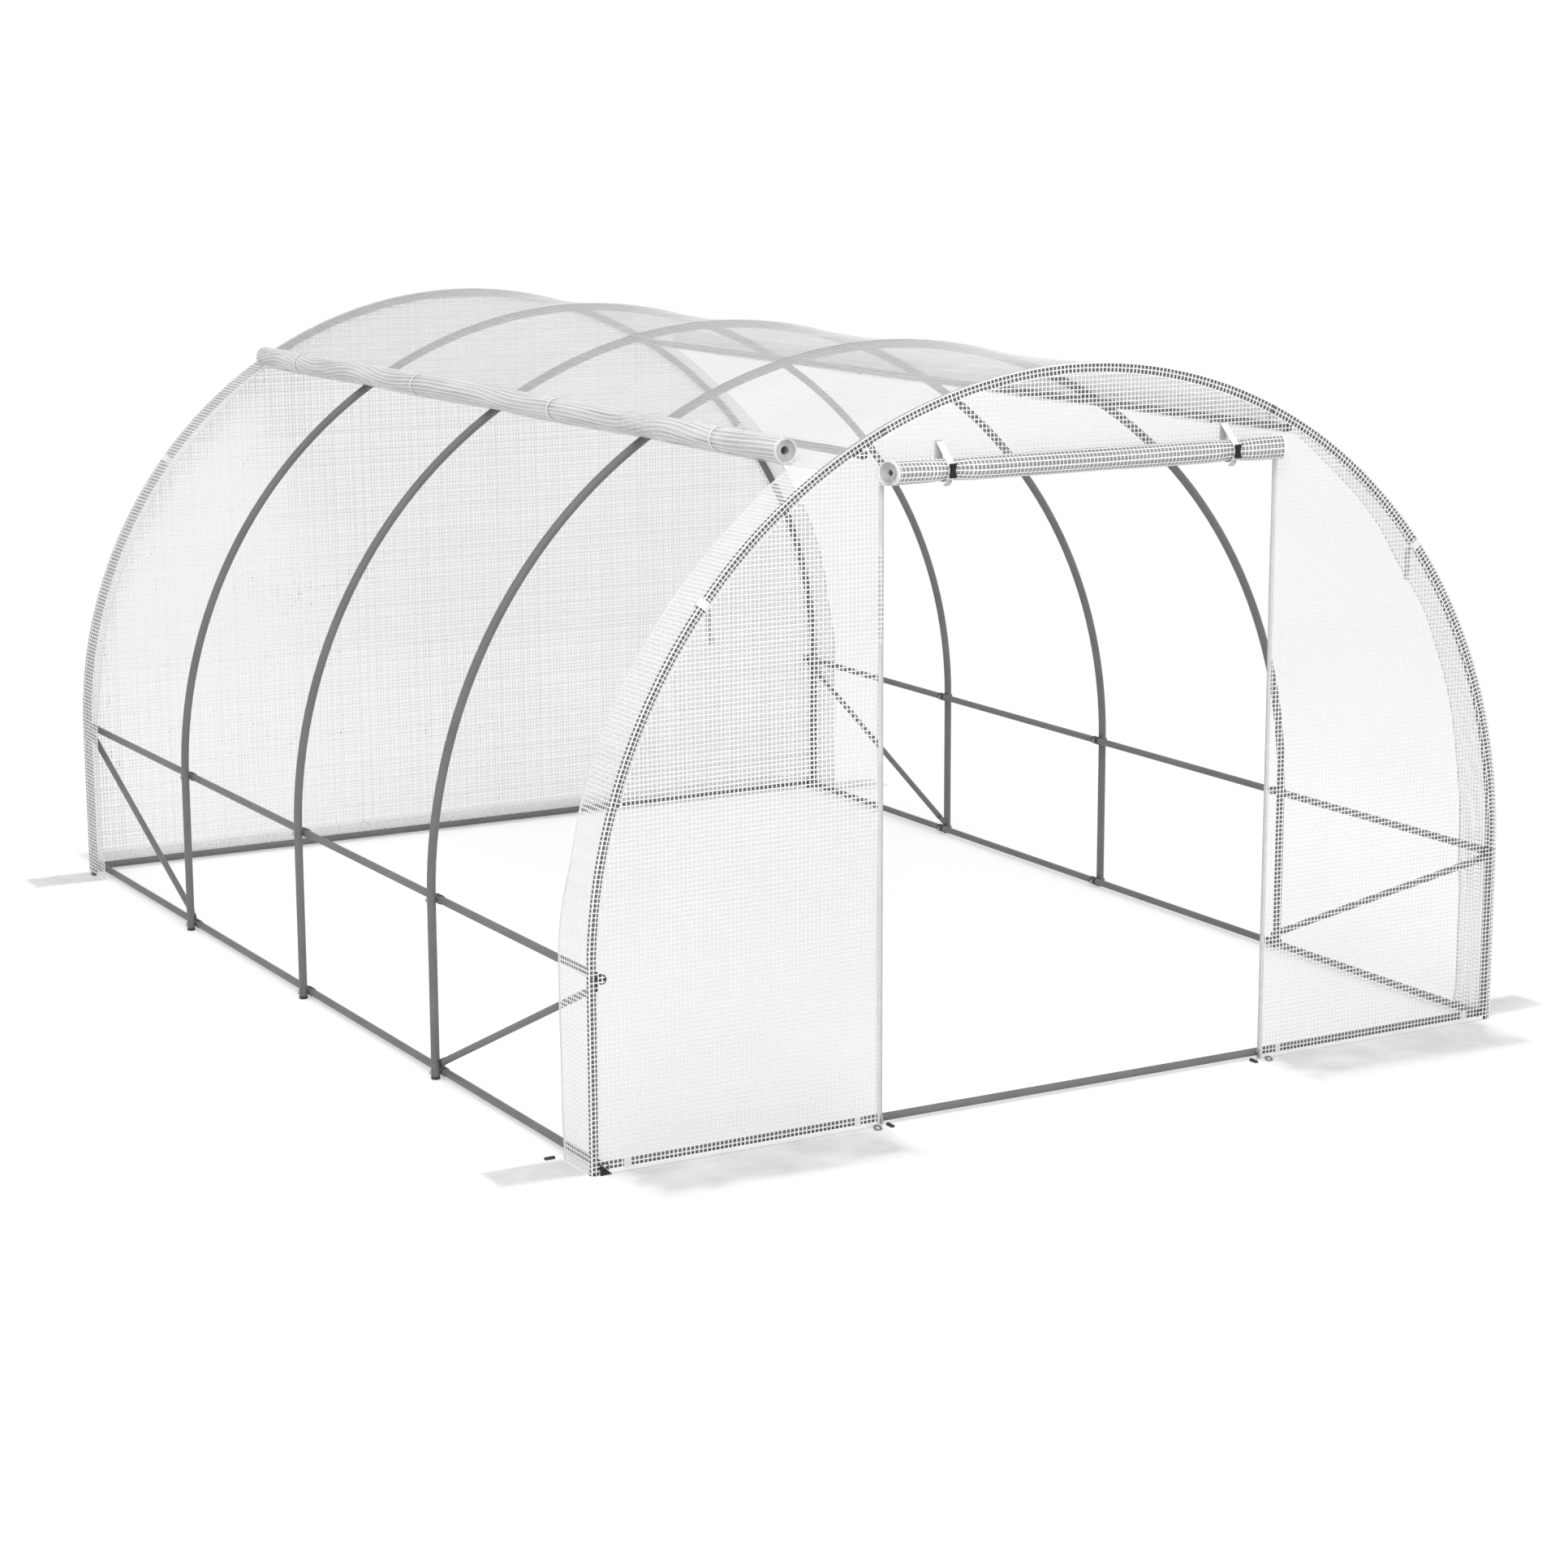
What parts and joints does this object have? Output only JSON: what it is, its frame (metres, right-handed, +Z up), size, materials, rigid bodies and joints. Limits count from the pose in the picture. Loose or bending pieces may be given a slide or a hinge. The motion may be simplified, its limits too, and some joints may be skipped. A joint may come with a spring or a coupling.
{
  "type": "polytunnel greenhouse",
  "caption": "Walk-in polytunnel: steel hoops and rails under a clear mesh-reinforced film, open at the front door, its door and both side walls rolled up and tied.",
  "frame": {"origin": "on the ground at the centre of the footprint", "axes": "+X to the right seen from the door end, +Y from the door end to the rear, +Z up"},
  "size_m": [3.5072, 4.6122, 2.0233],
  "materials": {
    "steel_tube": "satin powder coat over galvanised steel",
    "film": "clear polyethylene film laminated over a woven scrim",
    "webbing": "woven white tape",
    "buckle": "moulded nylon"
  },
  "bodies": {
    "root": {"hoop_arch_1": "steel_tube", "hoop_arch_2": "steel_tube", "hoop_arch_3": "steel_tube", "hoop_arch_4": "steel_tube", "hoop_arch_5": "steel_tube", "hoop_legs_1": "steel_tube", "hoop_legs_2": "steel_tube", "hoop_legs_3": "steel_tube", "hoop_legs_4": "steel_tube", "hoop_legs_5": "steel_tube", "base_rail_left": "steel_tube", "base_rail_right": "steel_tube", "base_rail_front": "steel_tube", "base_rail_rear": "steel_tube", "mid_rail_left": "steel_tube", "mid_rail_right": "steel_tube", "upper_rail_left": "steel_tube", "upper_rail_right": "steel_tube", "brace_front_left": "steel_tube", "brace_front_right": "steel_tube", "brace_rear_left": "steel_tube", "brace_rear_right": "steel_tube", "roof_film": "film", "front_panel_left": "film", "front_panel_right": "film", "front_panel_top": "film", "rear_panel": "film", "end_strip_front_left": "film", "end_strip_front_right": "film", "end_strip_rear_left": "film", "end_strip_rear_right": "film", "side_roll_left": "film", "side_roll_right": "film", "door_roll": "film", "ground_flaps_front": "film", "ground_flaps_side": "film", "ground_flap_rear": "film", "side_roll_ties": "webbing", "door_straps": "webbing", "door_zips": "webbing", "hoop_ties": "webbing", "strap_buckles": "buckle"}
  },
  "joints": []
}
